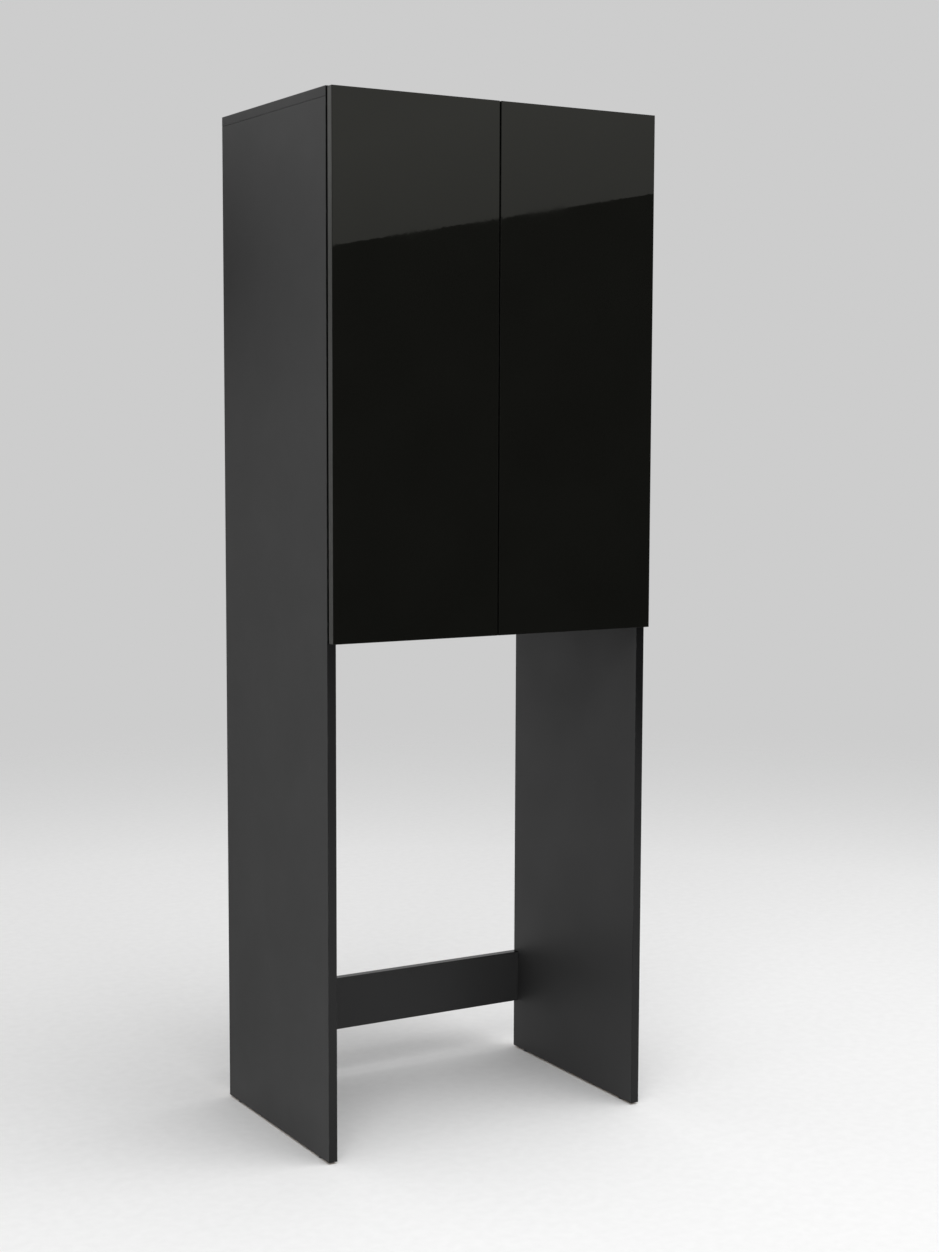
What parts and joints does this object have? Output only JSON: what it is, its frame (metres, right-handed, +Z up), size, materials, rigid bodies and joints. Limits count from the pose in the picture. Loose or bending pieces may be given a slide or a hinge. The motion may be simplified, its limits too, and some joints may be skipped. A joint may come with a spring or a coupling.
{
  "type": "washing machine cabinet",
  "caption": "Tall free-standing cabinet: a cupboard with push-open gloss doors on full-height matt side panels, over an open-backed bay that a washing machine stands in.",
  "frame": {"origin": "on the floor, under the middle of the cabinet's width and depth (depth counted with the doors)", "axes": "+Z up, -Y towards the front and the doors, +X to the right as seen from the front"},
  "size_m": [0.64, 0.4342, 1.8],
  "materials": {
    "dark_laminate": "melamine-faced particle board, matt anthracite",
    "gloss_front": "fibreboard, high-gloss black face",
    "thin_board": "thin fibreboard, printed dark",
    "nickel_steel": "nickel-plated pressed steel",
    "cast_zinc": "die-cast zinc, bright",
    "grey_plastic": "moulded, satin",
    "black_plastic": "moulded, satin"
  },
  "bodies": {
    "carcass": {"back_panel": "thin_board", "cam_floor_left_back": "cast_zinc", "cam_floor_left_front": "cast_zinc", "cam_floor_right_back": "cast_zinc", "cam_floor_right_front": "cast_zinc", "cam_stretcher_left": "cast_zinc", "cam_stretcher_right": "cast_zinc", "cam_top_left_back": "cast_zinc", "cam_top_left_front": "cast_zinc", "cam_top_right_back": "cast_zinc", "cam_top_right_front": "cast_zinc", "cupboard_floor": "dark_laminate", "glide_left_back": "black_plastic", "glide_left_front": "black_plastic", "glide_right_back": "black_plastic", "glide_right_front": "black_plastic", "hinge_arm_left_lower": "nickel_steel", "hinge_arm_left_upper": "nickel_steel", "hinge_arm_right_lower": "nickel_steel", "hinge_arm_right_upper": "nickel_steel", "hinge_plate_left_lower": "nickel_steel", "hinge_plate_left_upper": "nickel_steel", "hinge_plate_right_lower": "nickel_steel", "hinge_plate_right_upper": "nickel_steel", "latch_housing_left": "grey_plastic", "latch_housing_right": "grey_plastic", "rear_stretcher": "dark_laminate", "shelf_lower": "dark_laminate", "shelf_pin_lower_left_back": "nickel_steel", "shelf_pin_lower_left_front": "nickel_steel", "shelf_pin_lower_right_back": "nickel_steel", "shelf_pin_lower_right_front": "nickel_steel", "shelf_pin_upper_left_back": "nickel_steel", "shelf_pin_upper_left_front": "nickel_steel", "shelf_pin_upper_right_back": "nickel_steel", "shelf_pin_upper_right_front": "nickel_steel", "shelf_upper": "dark_laminate", "side_panel_left": "dark_laminate", "side_panel_right": "dark_laminate", "top_panel": "dark_laminate", "wall_bracket_left": "nickel_steel", "wall_bracket_right": "nickel_steel"},
    "door_left": {"door_left": "gloss_front", "hinge_cup_left_lower": "nickel_steel", "hinge_cup_left_upper": "nickel_steel", "hinge_pin_left_lower": "nickel_steel", "hinge_pin_left_upper": "nickel_steel", "strike_plate_left": "nickel_steel"},
    "door_right": {"door_right": "gloss_front", "hinge_cup_right_lower": "nickel_steel", "hinge_cup_right_upper": "nickel_steel", "hinge_pin_right_lower": "nickel_steel", "hinge_pin_right_upper": "nickel_steel", "strike_plate_right": "nickel_steel"},
    "plunger_left": {"latch_plunger_left": "black_plastic"},
    "plunger_right": {"latch_plunger_right": "black_plastic"}
  },
  "joints": [
    {"name": "door_left_hinge", "type": "hinge", "parent": "carcass", "child": "door_left", "pos_m": [-0.311, -0.2111, 1.3453], "axis": [0, 0, -1], "range_deg": [0, 95]},
    {"name": "door_right_hinge", "type": "hinge", "parent": "carcass", "child": "door_right", "pos_m": [0.311, -0.2111, 1.3453], "axis": [0, 0, 1], "range_deg": [0, 95]},
    {"name": "latch_left_travel", "type": "slide", "parent": "carcass", "child": "plunger_left", "axis": [0, -1, 0], "range_m": [0, 0.014]},
    {"name": "latch_right_travel", "type": "slide", "parent": "carcass", "child": "plunger_right", "axis": [0, -1, 0], "range_m": [0, 0.014]}
  ],
  "couplings": [
    {"joint": "latch_left_travel", "follows": "door_left_hinge", "m_per_rad": 0.008443},
    {"joint": "latch_right_travel", "follows": "door_right_hinge", "m_per_rad": 0.008443}
  ]
}
